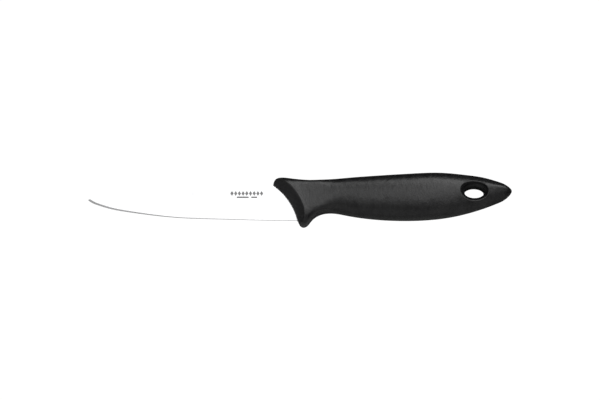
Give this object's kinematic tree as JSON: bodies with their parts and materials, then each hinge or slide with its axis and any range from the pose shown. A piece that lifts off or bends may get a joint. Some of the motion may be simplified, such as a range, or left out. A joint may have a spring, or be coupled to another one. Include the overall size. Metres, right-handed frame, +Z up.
{
  "type": "boning knife",
  "caption": "Narrow curved boning blade with a hidden tang in a two-shot moulded handle with a finger guard and an oval hang hole.",
  "frame": {"origin": "under the middle of the knife's bounding box, on the surface that the knife lies on", "axes": "the knife lies on its side: +X from the blade's tip to the handle's butt, +Y from the cutting edge to the spine, +Z up through the knife's thickness"},
  "size_m": [0.2404, 0.0314, 0.0177],
  "materials": {
    "blade_steel": "fine satin ground stainless steel",
    "core_plastic": "smooth hard black plastic",
    "grip_plastic": "fine-grained matte black plastic"
  },
  "bodies": {
    "root": {"blade": "blade_steel", "handle_core": "core_plastic", "handle_grip": "grip_plastic"}
  },
  "joints": []
}
